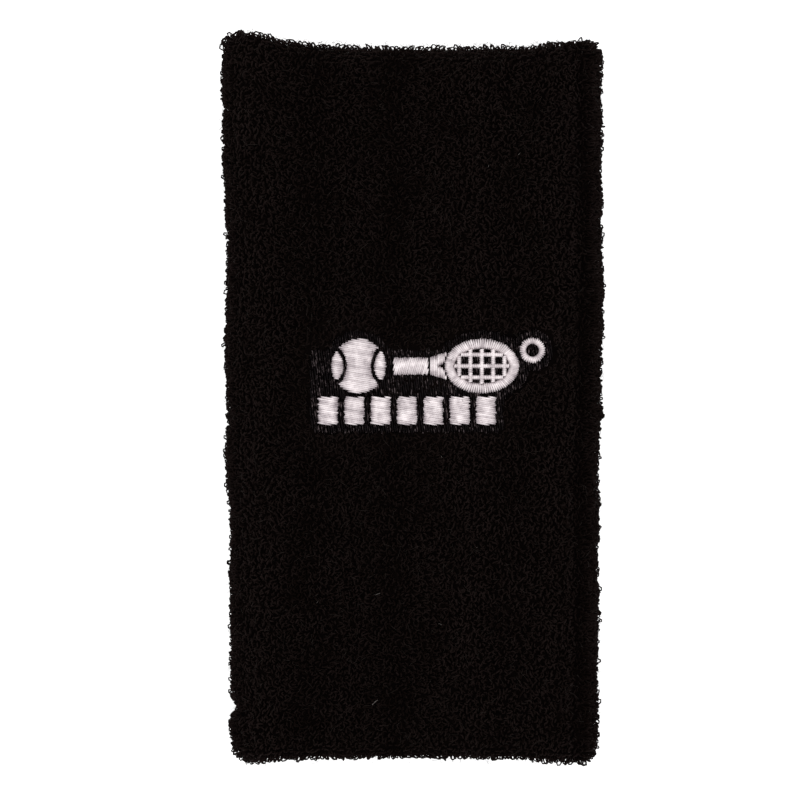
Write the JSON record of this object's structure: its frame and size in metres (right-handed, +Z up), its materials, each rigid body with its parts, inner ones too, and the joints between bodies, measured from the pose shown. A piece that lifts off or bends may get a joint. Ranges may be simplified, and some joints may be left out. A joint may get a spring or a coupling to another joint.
{
  "type": "sweat wristband",
  "caption": "Long black terry sweatband for the wrist and forearm, a double-layer stretch tube lying flat, with a raised white embroidered emblem.",
  "frame": {"origin": "on the surface that the band lies on, under the middle of the band", "axes": "+Y along the tube towards the hand end, +X across the band, +Z up, out of the face with the emblem"},
  "size_m": [0.078, 0.15, 0.0167],
  "materials": {
    "black_terry": "matt looped cotton towelling",
    "seam_thread": "matt linked polyester thread",
    "covered_elastic": "yarn-covered rubber thread",
    "nonwoven_backing": "felted non-woven",
    "bobbin_thread": "matt spun thread",
    "black_embroidery_thread": "slightly glossy filament thread",
    "white_embroidery_thread": "glossy filament thread in satin stitch"
  },
  "bodies": {
    "root": {"outer_sleeve": "black_terry", "hand_end_fold": "black_terry", "elbow_end_fold": "black_terry", "inner_sleeve_hand_half": "black_terry", "inner_sleeve_elbow_half": "black_terry", "closing_seam": "seam_thread", "elastic_course_01": "covered_elastic", "elastic_course_02": "covered_elastic", "elastic_course_03": "covered_elastic", "elastic_course_04": "covered_elastic", "elastic_course_05": "covered_elastic", "elastic_course_06": "covered_elastic", "elastic_course_07": "covered_elastic", "elastic_course_08": "covered_elastic", "elastic_course_09": "covered_elastic", "elastic_course_10": "covered_elastic", "elastic_course_11": "covered_elastic", "elastic_course_12": "covered_elastic", "embroidery_backing": "nonwoven_backing", "bobbin_stitching": "bobbin_thread", "knockdown_stitching": "black_embroidery_thread", "ball_left": "white_embroidery_thread", "ball_middle": "white_embroidery_thread", "ball_right": "white_embroidery_thread", "racket_grip": "white_embroidery_thread", "racket_throat": "white_embroidery_thread", "racket_frame": "white_embroidery_thread", "racket_strings": "white_embroidery_thread", "small_ring": "white_embroidery_thread", "border_block_1": "white_embroidery_thread", "border_block_2": "white_embroidery_thread", "border_block_3": "white_embroidery_thread", "border_block_4": "white_embroidery_thread", "border_block_5": "white_embroidery_thread", "border_block_6": "white_embroidery_thread", "border_block_7": "white_embroidery_thread"}
  },
  "joints": []
}
